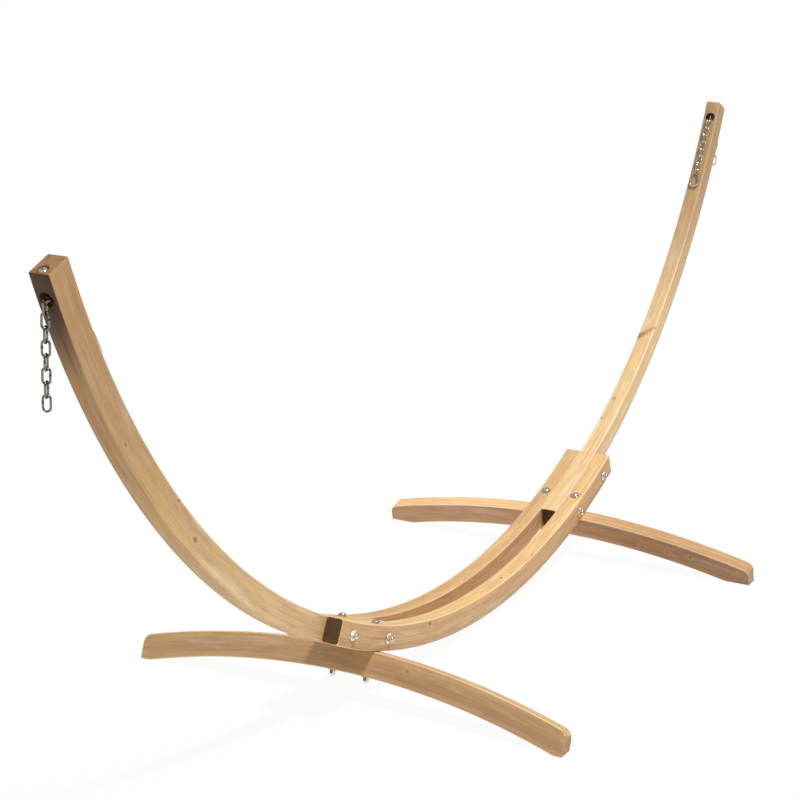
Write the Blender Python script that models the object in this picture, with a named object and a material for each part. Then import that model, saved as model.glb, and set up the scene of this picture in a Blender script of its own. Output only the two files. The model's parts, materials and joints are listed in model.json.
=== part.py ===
"""Arc-shaped wooden hammock stand with an adjustable chain and snap hook at each head.

Frame: metres, +Z up, origin on the ground under the middle of the stand.
+X runs along the stand's length and +Y across it. The stand is symmetric about
X = 0 and Y = 0, apart from how far each chain is drawn through its head.
"""

import math

import bpy
import bmesh
from mathutils import Matrix, Vector

# ---------------------------------------------------------------- driving dimensions
ARC_RADIUS = 1.690            # concave face of the uprights and rails
BEAM_DEPTH = 0.056            # radial thickness of every laminated beam
BEAM_WIDTH = 0.040            # width of every laminated beam
JOINT_GAP = 0.0003            # air left between pieces that touch
EDGE_BREAK = 0.0022           # chamfer along the beams' edges
ARC_CENTRE_Z = 1.7673         # centre of the big arc above the ground

HEAD_ANGLE = math.radians(66.5)        # angles are counted from straight down
UPRIGHT_FOOT_ANGLE = math.radians(15.9)
RAIL_END_ANGLE = math.radians(25.0)
FOOT_ANGLE = math.radians(18.6)
SIDE_BOLT_ANGLES = (math.radians(23.2), math.radians(17.65))

FOOT_RADIUS = 1.780           # top face of the arched feet
FOOT_HALF_LENGTH = 0.505      # each foot's ends are cut square to its middle
FOOT_END_ROUND = 0.016
FOOT_STEPS = 11               # segments of each half of the arch

BOLT_RADIUS = 0.004
BOLT_HOLE_RADIUS = 0.0046
WASHER_RADIUS = 0.0120
WASHER_THICKNESS = 0.0016
BOLT_HEAD_RADIUS = 0.0090
BOLT_HEAD_HEIGHT = 0.0055
NUT_HEX_RADIUS = 0.0075
NUT_HEX_HEIGHT = 0.0075
NUT_DOME_HEIGHT = 0.0055
THREAD_IN_NUT = 0.0090

BORE_FROM_END = 0.048         # chain bore, measured along the upright from its head
BORE_RADIUS = 0.0130
SCREW_OFFSET = 0.0147         # head screw, from the beam's middle towards its convex face
SCREW_RADIUS = 0.0025
SCREW_HOLE_RADIUS = 0.0030
SCREW_HEAD_RADIUS = 0.0080
SCREW_HEAD_HEIGHT = 0.0045
SCREW_BELOW_BORE = 0.020
COUNTERBORE_RADIUS = 0.0105
COUNTERBORE_DEPTH = 0.0034

LINK_PITCH = 0.0220
LINK_INNER_LENGTH = LINK_PITCH + JOINT_GAP
LINK_INNER_WIDTH = 0.0090
LINK_WIRE = 0.0040            # wire diameter
LINK_REACH = (LINK_INNER_LENGTH + LINK_WIRE) / 2   # centre to the end wire's centre
PIN_TO_START = (LINK_WIRE + JOINT_GAP) / 2         # a hanging link's start above the wire's centre
LINK_BEND_STEP = math.radians(45)
LINK_BEND = (LINK_INNER_WIDTH + LINK_WIRE) / 2     # centre-line radius of each end
LINK_BEND_INSIDE = LINK_BEND * math.cos(LINK_BEND_STEP / 2) - LINK_WIRE / 2
LINKS_PER_CHAIN = 16
TAIL_LINKS = {-1: 8, 1: 5}    # links that hang outside each head
STRAND_HEIGHT = {-1: 0.0092, 1: 0.0104}   # centre line of each strand above the concave face
EXIT_SLOPE = math.radians(38)  # fall of the right strand's first link, out of the bore
TAIL_YAW = math.radians(18.0)
FIRST_TAIL_YAW = math.radians(10.0)

HOOK_LENGTH = 0.056
HOOK_WIRE = 0.0055
HOOK_SMALL_BEND = 0.0062      # centre-line radius at the chain's end
HOOK_LARGE_BEND = 0.0117      # centre-line radius at the hammock's end
HOOK_TIP_HEIGHT = 0.0039      # large end's centre line above the face it leans on
GATE_HINGE_AT = 0.0090        # along the gate's side of the hook
GATE_RADIUS = 0.0024
NOSE_LENGTH = 0.0025          # straight end of the wire that the gate closes on
NOSE_GAP = 0.0004
SLOT_DEPTH = 0.0040           # fork's slot past the rivet
RIVET_HALF = 0.0026
TAB_HALF = 0.0012             # half thickness of the flattened hinge tab
TAB_LENGTH = 0.0062
TAB_CUTTER = (0.010, 0.012, 1.3 * TAB_LENGTH)   # what is cut away on each side of the tab
RIVET_RADIUS = 0.0010
RIVET_HOLE_RADIUS = 0.0013

BEAM_MIDDLE = ARC_RADIUS + BEAM_DEPTH / 2
BEAM_CONVEX = ARC_RADIUS + BEAM_DEPTH
RAIL_Y = BEAM_WIDTH + JOINT_GAP
SIDES = ((-1, "left"), (1, "right"))

SPRUCE = (0.60, 0.42, 0.24, 1.0)
ZINC = (0.72, 0.72, 0.70, 1.0)
STAINLESS = (0.62, 0.62, 0.61, 1.0)
CHAIN_STEEL = (0.55, 0.54, 0.51, 1.0)


# ---------------------------------------------------------------- small tools
def make_material(name, colour, roughness, metallic):
    material = bpy.data.materials.new(name)
    material.use_nodes = True
    shader = material.node_tree.nodes["Principled BSDF"]
    shader.inputs["Base Color"].default_value = colour
    shader.inputs["Roughness"].default_value = roughness
    shader.inputs["Metallic"].default_value = metallic
    material.diffuse_color = colour
    return material


def add_object(name, data, material=None):
    item = bpy.data.objects.new(name, data)
    bpy.context.collection.objects.link(item)
    if material is not None:
        data.materials.clear()
        data.materials.append(material)
    return item


def mesh_from(name, bm):
    bmesh.ops.recalc_face_normals(bm, faces=bm.faces)
    mesh = bpy.data.meshes.new(name)
    bm.to_mesh(mesh)
    bm.free()
    return mesh


def axes_matrix(origin, x_axis, y_axis):
    """World matrix whose local X and Y lie along the two given directions."""
    x_axis = Vector(x_axis).normalized()
    z_axis = x_axis.cross(Vector(y_axis)).normalized()
    y_axis = z_axis.cross(x_axis)
    rotation = Matrix((x_axis, y_axis, z_axis)).transposed()
    return Matrix.Translation(origin) @ rotation.to_4x4()


def z_matrix(origin, z_axis, x_hint=(0, 1, 0)):
    """World matrix whose local Z lies along z_axis."""
    z_axis = Vector(z_axis).normalized()
    x_axis = Vector(x_hint)
    x_axis = (x_axis - z_axis * x_axis.dot(z_axis)).normalized()
    return axes_matrix(origin, x_axis, z_axis.cross(x_axis))


def turned_mesh(name, profile, steps=12):
    """Solid of revolution about local Z; the profile's (radius, height) ends lie on the axis."""
    bm = bmesh.new()
    verts = [bm.verts.new((radius, 0, height)) for radius, height in profile]
    edges = [bm.edges.new(pair) for pair in zip(verts, verts[1:])]
    bmesh.ops.spin(bm, geom=verts + edges, cent=(0, 0, 0), axis=(0, 0, 1), dvec=(0, 0, 0),
                   angle=math.tau, steps=steps, use_duplicate=False)
    bmesh.ops.remove_doubles(bm, verts=bm.verts, dist=1e-6)
    return mesh_from(name, bm)


def smooth(item, degrees=35):
    item.data.shade_smooth()
    item.data.set_sharp_from_angle(angle=math.radians(degrees))


def cutter(name, mesh, matrix):
    tool = add_object(name, mesh)
    tool.matrix_world = matrix
    tool.hide_render = True
    tool.display_type = "WIRE"
    return tool


def cylinder_cutter(name, radius, low, high, matrix, steps=20):
    profile = ((0, low), (radius, low), (radius, high), (0, high))
    return cutter(name, turned_mesh(name, profile, steps), matrix)


def box_cutter(name, size, matrix):
    bm = bmesh.new()
    bmesh.ops.create_cube(bm, size=1.0, matrix=Matrix.Diagonal((*size, 1.0)))
    return cutter(name, mesh_from(name, bm), matrix)


def cut(item, tool, operation="DIFFERENCE"):
    step = item.modifiers.new(tool.name, "BOOLEAN")
    step.operation = operation
    step.solver = "EXACT"
    step.object = tool


# ---------------------------------------------------------------- the big arc
def arc_point(radius, angle, y=0.0):
    """A point at an angle from straight down; a negative angle is on the -X side."""
    return Vector((radius * math.sin(angle), y, ARC_CENTRE_Z - radius * math.cos(angle)))


def arc_outward(angle):
    return Vector((math.sin(angle), 0, -math.cos(angle)))


def arc_upward(angle):
    """Along the arc, towards the nearer head."""
    side = math.copysign(1.0, angle)
    return Vector((side * math.cos(angle), 0, side * math.sin(angle)))


def swept_beam(name, start, sweep, steps, corners, centre, axis):
    """Laminated beam: a rectangle spun about the centre of its arc."""
    bm = bmesh.new()
    face = bm.faces.new([bm.verts.new(corner) for corner in corners])
    turn = Matrix.Rotation(start, 3, axis)
    bmesh.ops.rotate(bm, verts=bm.verts, cent=centre, matrix=turn)
    bmesh.ops.spin(bm, geom=list(face.verts) + list(face.edges) + [face], cent=centre, axis=axis,
                   dvec=(0, 0, 0), angle=sweep, steps=steps, use_duplicate=False)
    return mesh_from(name, bm)


def break_edges(item):
    bevel = item.modifiers.new("edge_break", "BEVEL")
    bevel.width = EDGE_BREAK
    bevel.segments = 1
    bevel.limit_method = "ANGLE"
    bevel.angle_limit = math.radians(40)


def long_beam(name, y, start, end, steps, wood):
    """Upright or rail between two angles of the big arc."""
    centre = (0, y, ARC_CENTRE_Z)
    corners = [(0, y + dy, ARC_CENTRE_Z - radius)
               for dy, radius in ((-BEAM_WIDTH / 2, ARC_RADIUS), (BEAM_WIDTH / 2, ARC_RADIUS),
                                  (BEAM_WIDTH / 2, BEAM_CONVEX), (-BEAM_WIDTH / 2, BEAM_CONVEX))]
    # turning about -Y carries the lowest point of the arc towards +X
    mesh = swept_beam(name, start, end - start, steps, corners, centre, Vector((0, -1, 0)))
    beam = add_object(name, mesh, wood)
    break_edges(beam)
    return beam


def drill_side_bolts(beam, side):
    for number, angle in enumerate(SIDE_BOLT_ANGLES, start=1):
        place = z_matrix(arc_point(BEAM_MIDDLE, side * angle), (0, 1, 0), (1, 0, 0))
        name = f"{beam.name}_side_hole_{side:+d}_{number}"
        cut(beam, cylinder_cutter(name, BOLT_HOLE_RADIUS, -0.08, 0.08, place))


def drill_foot_bolt(beam, side, y):
    angle = side * FOOT_ANGLE
    place = z_matrix(arc_point(BEAM_CONVEX, angle, y), arc_outward(angle))
    name = f"{beam.name}_foot_hole_{side:+d}_{y:+.2f}"
    cut(beam, cylinder_cutter(name, BOLT_HOLE_RADIUS, -0.10, 0.12, place))


def make_rails(wood):
    for way, name in ((-1, "front_rail"), (1, "rear_rail")):
        rail = long_beam(name, way * RAIL_Y, -RAIL_END_ANGLE, RAIL_END_ANGLE, 26, wood)
        for side, _ in SIDES:
            drill_side_bolts(rail, side)
            drill_foot_bolt(rail, side, way * RAIL_Y)


# ---------------------------------------------------------------- the heads
BORE_ANGLE = HEAD_ANGLE - BORE_FROM_END / BEAM_MIDDLE


def head_point(side, outward, upward=0.0, y=0.0):
    """A point at one head, measured from the middle of its chain bore."""
    angle = side * BORE_ANGLE
    middle = arc_point(BEAM_MIDDLE, angle, y)
    return middle + arc_outward(angle) * outward + arc_upward(angle) * upward


def screw_place(side):
    """Local Z runs up the head screw; local origin is level with the bore's axis."""
    return z_matrix(head_point(side, SCREW_OFFSET), arc_upward(side * BORE_ANGLE))


def screw_seat():
    """Height of the counterbore's floor above the bore's axis, along the screw."""
    return BORE_FROM_END - COUNTERBORE_DEPTH


def make_uprights(wood):
    for side, word in SIDES:
        ends = sorted((side * UPRIGHT_FOOT_ANGLE, side * HEAD_ANGLE))
        upright = long_beam(f"{word}_upright", 0.0, ends[0], ends[1], 26, wood)
        drill_side_bolts(upright, side)
        bore = z_matrix(head_point(side, 0), arc_outward(side * BORE_ANGLE))
        cut(upright, cylinder_cutter(f"{word}_chain_bore", BORE_RADIUS, -0.06, 0.06, bore, 28))
        reach = -(BORE_RADIUS + SCREW_BELOW_BORE + 0.001)
        place = screw_place(side)
        cut(upright, cylinder_cutter(f"{word}_screw_hole", SCREW_HOLE_RADIUS, reach, 0.08, place))
        cut(upright, cylinder_cutter(f"{word}_counterbore", COUNTERBORE_RADIUS, screw_seat(), 0.08,
                                     place, 24))


def make_head_screws(steel):
    seat = screw_seat() + JOINT_GAP
    tip = -(BORE_RADIUS + SCREW_BELOW_BORE)
    head = SCREW_HEAD_RADIUS
    profile = ((0, tip), (SCREW_RADIUS * 0.35, tip), (SCREW_RADIUS, tip + 0.004),
               (SCREW_RADIUS, seat), (head, seat), (head, seat + 0.0012),
               (head * 0.80, seat + SCREW_HEAD_HEIGHT * 0.68),
               (head * 0.42, seat + SCREW_HEAD_HEIGHT * 0.93), (0, seat + SCREW_HEAD_HEIGHT))
    for side, word in SIDES:
        screw = add_object(f"{word}_head_screw", turned_mesh("head_screw", profile), steel)
        screw.matrix_world = screw_place(side)
        smooth(screw)


# ---------------------------------------------------------------- the feet
def foot_outline():
    """Side view of a foot as (y, z), with the middle of its top at the origin."""
    turning = FOOT_RADIUS - FOOT_END_ROUND
    under = FOOT_RADIUS - BEAM_DEPTH
    centre_y = FOOT_HALF_LENGTH - FOOT_END_ROUND
    shoulder = math.asin(centre_y / turning)           # counted from straight up
    centre_z = turning * math.cos(shoulder) - FOOT_RADIUS
    corner = math.asin(FOOT_HALF_LENGTH / under)
    half = []
    for step in range(FOOT_STEPS + 1):
        angle = shoulder * step / FOOT_STEPS
        half.append((FOOT_RADIUS * math.sin(angle), FOOT_RADIUS * (math.cos(angle) - 1)))
    for step in range(1, 5):
        angle = shoulder + (math.pi / 2 - shoulder) * step / 4
        half.append((centre_y + FOOT_END_ROUND * math.sin(angle),
                     centre_z + FOOT_END_ROUND * math.cos(angle)))
    for step in range(FOOT_STEPS + 1):
        angle = corner * (1 - step / FOOT_STEPS)
        half.append((under * math.sin(angle), under * math.cos(angle) - FOOT_RADIUS))
    return half + [(-y, z) for y, z in reversed(half[1:-1])]


def foot_mesh(name):
    bm = bmesh.new()
    outline = foot_outline()
    near, far = ([bm.verts.new((x, y, z)) for y, z in outline] for x in (-BEAM_WIDTH / 2, BEAM_WIDTH / 2))
    for index in range(len(outline)):
        bm.faces.new((near[index - 1], near[index], far[index], far[index - 1]))
    bm.faces.new(near)
    bm.faces.new(far)
    return mesh_from(name, bm)


def make_feet(wood):
    seat = BEAM_CONVEX + JOINT_GAP
    for side, word in SIDES:
        foot = add_object(f"{word}_foot", foot_mesh(f"{word}_foot"), wood)
        angle = side * FOOT_ANGLE
        # local Z points back at the arc's centre, so the foot leans with the beams it carries
        along = Vector((0, 1, 0)).cross(-arc_outward(angle))
        foot.matrix_world = axes_matrix(arc_point(seat, angle), along, (0, 1, 0))
        break_edges(foot)
        place = Matrix.Translation((foot.location.x, 0, -0.1))
        cut(foot, box_cutter(f"{word}_ground", (0.4, 1.4, 0.2), place))
        for way in (-1, 1):
            drill_foot_bolt(foot, side, way * RAIL_Y)


# ---------------------------------------------------------------- bolts and nuts
def bolt_mesh(name, grip):
    """Domed bolt with its washer; local Z = 0 is the wood's face and the shank runs down."""
    face = JOINT_GAP
    top = face + WASHER_THICKNESS
    tip = -(grip + WASHER_THICKNESS + THREAD_IN_NUT)
    head = BOLT_HEAD_RADIUS
    profile = ((0, tip), (BOLT_RADIUS * 0.75, tip), (BOLT_RADIUS, tip + 0.001), (BOLT_RADIUS, face),
               (WASHER_RADIUS, face), (WASHER_RADIUS, top), (head, top),
               (head * 0.93, top + BOLT_HEAD_HEIGHT * 0.48),
               (head * 0.62, top + BOLT_HEAD_HEIGHT * 0.86), (0, top + BOLT_HEAD_HEIGHT))
    return turned_mesh(name, profile)


def nut_mesh(name):
    """Cap nut with its washer; local Z = 0 is the wood's face and the dome points up."""
    face = JOINT_GAP
    top = face + WASHER_THICKNESS
    hex_top = top + NUT_HEX_HEIGHT
    dome = NUT_HEX_RADIUS * 0.86
    hole = BOLT_RADIUS + 0.0004
    depth = top + THREAD_IN_NUT + JOINT_GAP
    profile = ((0, depth), (hole, depth), (hole, face), (WASHER_RADIUS, face), (WASHER_RADIUS, top),
               (NUT_HEX_RADIUS, top), (NUT_HEX_RADIUS, hex_top), (dome, hex_top),
               (dome * 0.86, hex_top + NUT_DOME_HEIGHT * 0.55),
               (dome * 0.50, hex_top + NUT_DOME_HEIGHT * 0.88), (0, hex_top + NUT_DOME_HEIGHT))
    return turned_mesh(name, profile)


def add_bolt_and_nut(name, bolt, nut, head_place, nut_place, steel):
    for part, mesh, place in (("bolt", bolt, head_place), ("nut", nut, nut_place)):
        item = add_object(f"{name}_{part}", mesh, steel)
        item.matrix_world = place
        smooth(item)


def make_bolts(steel):
    rail_face = RAIL_Y + BEAM_WIDTH / 2
    side_bolt = bolt_mesh("side_bolt", 2 * rail_face)
    foot_bolt = bolt_mesh("foot_bolt", 2 * BEAM_DEPTH + JOINT_GAP + foot_drop())
    nut = nut_mesh("cap_nut")
    for side, word in SIDES:
        for place_word, angle in zip(("upper", "lower"), SIDE_BOLT_ANGLES):
            centre = arc_point(BEAM_MIDDLE, side * angle)
            add_bolt_and_nut(f"{word}_side_{place_word}", side_bolt, nut,
                             z_matrix(centre + Vector((0, rail_face, 0)), (0, 1, 0), (1, 0, 0)),
                             z_matrix(centre - Vector((0, rail_face, 0)), (0, -1, 0), (1, 0, 0)),
                             steel)
        angle = side * FOOT_ANGLE
        for way, way_word in ((-1, "front"), (1, "rear")):
            y = way * RAIL_Y
            under = BEAM_CONVEX + JOINT_GAP + foot_drop() + BEAM_DEPTH
            add_bolt_and_nut(f"{word}_foot_{way_word}", foot_bolt, nut,
                             z_matrix(arc_point(ARC_RADIUS - 0.0004, angle, y), -arc_outward(angle)),
                             z_matrix(arc_point(under, angle, y), arc_outward(angle)), steel)


def foot_drop():
    """How far the arched foot falls away below the middle of a rail."""
    outer = RAIL_Y + WASHER_RADIUS
    return FOOT_RADIUS - BEAM_DEPTH - math.sqrt((FOOT_RADIUS - BEAM_DEPTH) ** 2 - outer ** 2)


# ---------------------------------------------------------------- chain
def link_curve(steel):
    """One welded link in its own plane: long along local X, wide along local Y."""
    straight = LINK_REACH - LINK_BEND
    points = []
    for end in (1, -1):
        for step in range(5):
            angle = -end * math.pi / 2 + LINK_BEND_STEP * step
            points.append((end * straight + LINK_BEND * math.cos(angle), LINK_BEND * math.sin(angle), 0))
    curve = wire_curve("chain_link", points, LINK_WIRE / 2, cyclic=True)
    curve.materials.append(steel)
    return curve


def wire_curve(name, points, radius, cyclic):
    curve = bpy.data.curves.new(name, "CURVE")
    curve.dimensions = "3D"
    curve.twist_mode = "Z_UP"
    curve.bevel_depth = radius
    curve.bevel_resolution = 2
    curve.use_fill_caps = True
    curve.render_resolution_u = 0
    spline = curve.splines.new("POLY")
    spline.points.add(len(points) - 1)
    for slot, point in zip(spline.points, points):
        slot.co = (*point, 1.0)
    spline.use_cyclic_u = cyclic
    spline.use_smooth = True
    return curve


def bore_links(side):
    """Links held in the bore: (distance outward of each centre, True where it is wide along Y).

    The screw runs through the captured link, and one neighbour's wire is pinched between
    the screw and the captured link's end, on the side that carries the pull.
    """
    pinch = SCREW_RADIUS + LINK_WIRE + 2 * JOINT_GAP
    if side < 0:
        captured = SCREW_OFFSET - pinch + LINK_INNER_LENGTH / 2
        return [(captured, True), (captured - LINK_PITCH, False), (captured - 2 * LINK_PITCH, True)]
    captured = SCREW_OFFSET + pinch - LINK_INNER_LENGTH / 2
    return [(captured + LINK_PITCH, False), (captured, True), (captured - LINK_PITCH, False)]


def strand_point(side, travelled, height):
    """A point above the concave face, down the beam from the bore."""
    angle = side * (BORE_ANGLE - travelled / ARC_RADIUS)
    return arc_point(ARC_RADIUS - height, angle)


def right_exit():
    """Start and direction of the right strand's first link, which slopes out of the bore."""
    outward = arc_outward(BORE_ANGLE)
    upward = arc_upward(BORE_ANGLE)
    way = -outward * math.cos(EXIT_SLOPE) - upward * math.sin(EXIT_SLOPE)
    bend_centre = head_point(1, bore_links(1)[-1][0] - LINK_REACH + LINK_BEND)
    return bend_centre + way * (LINK_BEND_INSIDE - JOINT_GAP / 2), way


def inner_strand(side):
    """(start, direction, wide direction) of each link on the concave face, bore to hook.

    Links alternate edge-on and flat.  The strand bends only where an edge-on link hangs from
    a flat one, so each edge-on link aims two pitches ahead and the flat one after it follows.
    """
    held = bore_links(side)
    across = Vector((0, 1, 0))
    pin = head_point(side, held[-1][0] - LINK_REACH)
    travelled = 0.0
    strand = []
    if side > 0:
        start, way = right_exit()
        strand.append((start, way, across))
        pin = end_pin(start, way)
        travelled = (LINK_BEND_INSIDE + LINK_PITCH) * math.sin(EXIT_SLOPE)
    edge_on = True
    for _ in range(LINKS_PER_CHAIN - TAIL_LINKS[side] - len(held) - len(strand)):
        if edge_on:
            travelled += 2 * LINK_PITCH
            way = (strand_point(side, travelled, STRAND_HEIGHT[side]) - pin).normalized()
        start = pin - way * PIN_TO_START
        strand.append((start, way, way.cross(across) if edge_on else across))
        pin = end_pin(start, way)
        edge_on = not edge_on
    return strand


def end_pin(start, way):
    """Centre of a link's far end wire, on which the next link or the hook hangs."""
    return start + way * (LINK_PITCH / 2 + LINK_REACH)


def tail_strand(side):
    """Joints of the free tail, which hangs plumb outside the convex face."""
    first_centre = bore_links(side)[0][0]
    if side < 0:
        top = head_point(side, first_centre + LINK_REACH) + Vector((0, 0, PIN_TO_START))
    else:
        bend_centre = head_point(side, first_centre + LINK_REACH - LINK_BEND)
        top = bend_centre - Vector((0, 0, LINK_BEND_INSIDE - JOINT_GAP / 2))
    return [top - Vector((0, 0, LINK_PITCH * step)) for step in range(TAIL_LINKS[side] + 1)]


def tail_widths(side):
    """Wide direction of each hanging link, first link first."""
    widths = []
    for step in range(TAIL_LINKS[side]):
        if side > 0:
            yaw = 0.0
            along_x = step % 2 == 1
        else:
            yaw = FIRST_TAIL_YAW if step == 0 else TAIL_YAW
            along_x = step % 2 == 0
        direction = (math.cos(yaw), math.sin(yaw), 0) if along_x else (math.sin(yaw), -math.cos(yaw), 0)
        widths.append(Vector(direction))
    return widths


def chain_layout(side):
    """Every link of one chain as (centre, direction, wide direction), tail end first."""
    outward = arc_outward(side * BORE_ANGLE)
    upward = arc_upward(side * BORE_ANGLE)
    tail = tail_strand(side)
    links = []
    for above, below, wide in zip(tail, tail[1:], tail_widths(side)):
        links.append(((above + below) / 2, above - below, wide))
    links.reverse()
    for centre, wide_y in bore_links(side):
        links.append((head_point(side, centre), outward, Vector((0, 1, 0)) if wide_y else upward))
    for start, way, wide in inner_strand(side):
        links.append((start + way * LINK_PITCH / 2, -way, wide))
    return links


def make_chains(steel):
    curve = link_curve(steel)
    for side, word in SIDES:
        for number, (centre, direction, wide) in enumerate(chain_layout(side), start=1):
            link = add_object(f"{word}_link_{number:02d}", curve)
            link.matrix_world = axes_matrix(centre, direction, wide)


# ---------------------------------------------------------------- snap hooks
HOOK_SPAN = HOOK_LENGTH - HOOK_WIRE - HOOK_SMALL_BEND - HOOK_LARGE_BEND
HOOK_LEAN = math.asin((HOOK_LARGE_BEND - HOOK_SMALL_BEND) / HOOK_SPAN)
NOSE_AT = HOOK_SPAN * math.cos(HOOK_LEAN) - NOSE_LENGTH


def gate_side_point(along):
    """A point on the straight line that the gate closes, from the small bend's end of it."""
    normal = Vector((-math.sin(HOOK_LEAN), math.cos(HOOK_LEAN), 0))
    way = Vector((math.cos(HOOK_LEAN), math.sin(HOOK_LEAN), 0))
    return normal * HOOK_SMALL_BEND + way * along


def hook_outline():
    """Centre line in the hook's plane: X runs down the hook from its small bend's centre.

    It starts at the nose on the +Y side, rounds the large bend, climbs the spine on the
    -Y side, rounds the small bend and ends at the gate's hinge on the +Y side.
    """
    quarter = math.pi / 2 + HOOK_LEAN
    points = [gate_side_point(NOSE_AT)]
    for step in range(10):
        angle = quarter - 2 * quarter * step / 9
        spoke = Vector((math.cos(angle), math.sin(angle), 0))
        points.append(Vector((HOOK_SPAN, 0, 0)) + HOOK_LARGE_BEND * spoke)
    for step in range(7):
        angle = -quarter - (math.tau - 2 * quarter) * step / 6
        points.append(HOOK_SMALL_BEND * Vector((math.cos(angle), math.sin(angle), 0)))
    points.append(gate_side_point(GATE_HINGE_AT + TAB_LENGTH / 3))
    return points


def hook_body_mesh():
    bent = add_object("hook_wire", wire_curve("hook_wire", hook_outline(), HOOK_WIRE / 2, cyclic=False))
    mesh = bpy.data.meshes.new_from_object(bent)
    bpy.data.objects.remove(bent)
    bm = bmesh.new()
    bm.from_mesh(mesh)
    bmesh.ops.remove_doubles(bm, verts=bm.verts, dist=1e-6)
    bm.to_mesh(mesh)
    bm.free()
    return mesh


def hook_place(side):
    """World matrix of a hook: it hangs from its strand's last joint, leaning on the beam."""
    start, way, _ = inner_strand(side)[-1]
    pin = end_pin(start, way)
    angle = math.atan2(side * pin.x, ARC_CENTRE_Z - pin.z)
    below = side * (angle - HOOK_LENGTH / ARC_RADIUS)
    way = (arc_point(ARC_RADIUS - HOOK_TIP_HEIGHT, below) - pin).normalized()
    eye = HOOK_SMALL_BEND - HOOK_WIRE / 2 - LINK_WIRE / 2 - JOINT_GAP
    return axes_matrix(pin + way * eye, way, (0, 1, 0))


def local_gate_frame():
    """The gate's own frame in the hook: local Z along the gate, local X across the hook's plane."""
    way = gate_side_point(1.0) - gate_side_point(0.0)
    return z_matrix(gate_side_point(GATE_HINGE_AT), way, (0, 0, 1))


def make_hooks(steel):
    body_mesh = hook_body_mesh()
    length = NOSE_AT - GATE_HINGE_AT - NOSE_GAP
    back = -TAB_LENGTH / 3
    rod = ((0, back), (GATE_RADIUS, back), (GATE_RADIUS, length), (0, length))
    for side, word in SIDES:
        place = hook_place(side)
        hinge = place @ local_gate_frame()
        body = add_object(f"{word}_hook_body", body_mesh.copy(), steel)
        body.matrix_world = place
        for face in (-1, 1):
            place_of_cut = hinge @ Matrix.Translation((face * (TAB_HALF + TAB_CUTTER[0] / 2), 0, 0))
            cut(body, box_cutter(f"{word}_tab_{face:+d}", TAB_CUTTER, place_of_cut))
        across = hinge @ Matrix.Rotation(math.pi / 2, 4, "Y")
        cut(body, cylinder_cutter(f"{word}_rivet_hole", RIVET_HOLE_RADIUS, -0.01, 0.01, across, 12))
        smooth(body)
        gate = add_object(f"{word}_hook_gate", turned_mesh("gate_rod", rod, 12), steel)
        gate.matrix_world = hinge
        slot = Matrix.Translation((0, 0, SLOT_DEPTH / 2 - 0.005))
        slot_size = (2 * (TAB_HALF + JOINT_GAP), 0.012, SLOT_DEPTH + 0.010)
        cut(gate, box_cutter(f"{word}_gate_slot", slot_size, hinge @ slot))
        rivet = cylinder_cutter(f"{word}_rivet", RIVET_RADIUS, -RIVET_HALF, RIVET_HALF, across, 12)
        cut(gate, rivet, "UNION")
        smooth(gate)


# ---------------------------------------------------------------- the whole stand
def main():
    for item in list(bpy.data.objects):
        bpy.data.objects.remove(item)
    wood = make_material("spruce", SPRUCE, 0.55, 0.0)
    zinc = make_material("zinc_steel", ZINC, 0.30, 1.0)
    chain_steel = make_material("chain_steel", CHAIN_STEEL, 0.35, 1.0)
    stainless = make_material("hook_steel", STAINLESS, 0.25, 1.0)
    make_uprights(wood)
    make_rails(wood)
    make_feet(wood)
    make_bolts(zinc)
    make_head_screws(zinc)
    make_chains(chain_steel)
    make_hooks(stainless)


main()
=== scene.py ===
"""Looks of the arched wooden hammock stand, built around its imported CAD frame.

The timbers, the bolts with their washers and cap nuts, the head screws, the chains and the
snap hooks are rebuilt here in finer mesh, each in its CAD node's place, with procedural
materials. All lengths are in metres, and all angles in radians.
"""

import json
import math

import bmesh
import bpy
import numpy as np
from mathutils import Matrix, Vector


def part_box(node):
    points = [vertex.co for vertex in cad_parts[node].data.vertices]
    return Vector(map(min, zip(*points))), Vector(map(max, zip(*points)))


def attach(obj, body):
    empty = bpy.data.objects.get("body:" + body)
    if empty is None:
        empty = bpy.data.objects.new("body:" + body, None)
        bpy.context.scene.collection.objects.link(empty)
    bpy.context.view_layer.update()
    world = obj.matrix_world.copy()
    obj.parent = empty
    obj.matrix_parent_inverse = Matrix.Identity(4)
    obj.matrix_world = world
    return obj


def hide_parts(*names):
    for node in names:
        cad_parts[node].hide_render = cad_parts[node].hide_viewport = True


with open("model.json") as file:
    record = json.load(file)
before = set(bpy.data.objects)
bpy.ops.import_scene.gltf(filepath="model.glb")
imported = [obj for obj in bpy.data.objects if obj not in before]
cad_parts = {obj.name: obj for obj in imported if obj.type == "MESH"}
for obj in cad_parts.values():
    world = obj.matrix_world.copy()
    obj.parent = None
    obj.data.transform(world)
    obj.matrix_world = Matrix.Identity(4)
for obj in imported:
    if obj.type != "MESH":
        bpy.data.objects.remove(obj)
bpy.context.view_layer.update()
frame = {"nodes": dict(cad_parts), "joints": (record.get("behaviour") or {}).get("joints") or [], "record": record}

# ---------------------------------------------------------------- sizes shared with the frame
ARC_RADIUS = 1.690             # concave face of the uprights and rails
BEAM_DEPTH = 0.056
BEAM_WIDTH = 0.040
JOINT_GAP = 0.0003
ARC_CENTRE_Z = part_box("front_rail")[0].z + ARC_RADIUS + BEAM_DEPTH
BEAM_MIDDLE = ARC_RADIUS + BEAM_DEPTH / 2
BEAM_CONVEX = ARC_RADIUS + BEAM_DEPTH
RAIL_Y = BEAM_WIDTH + JOINT_GAP

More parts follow.
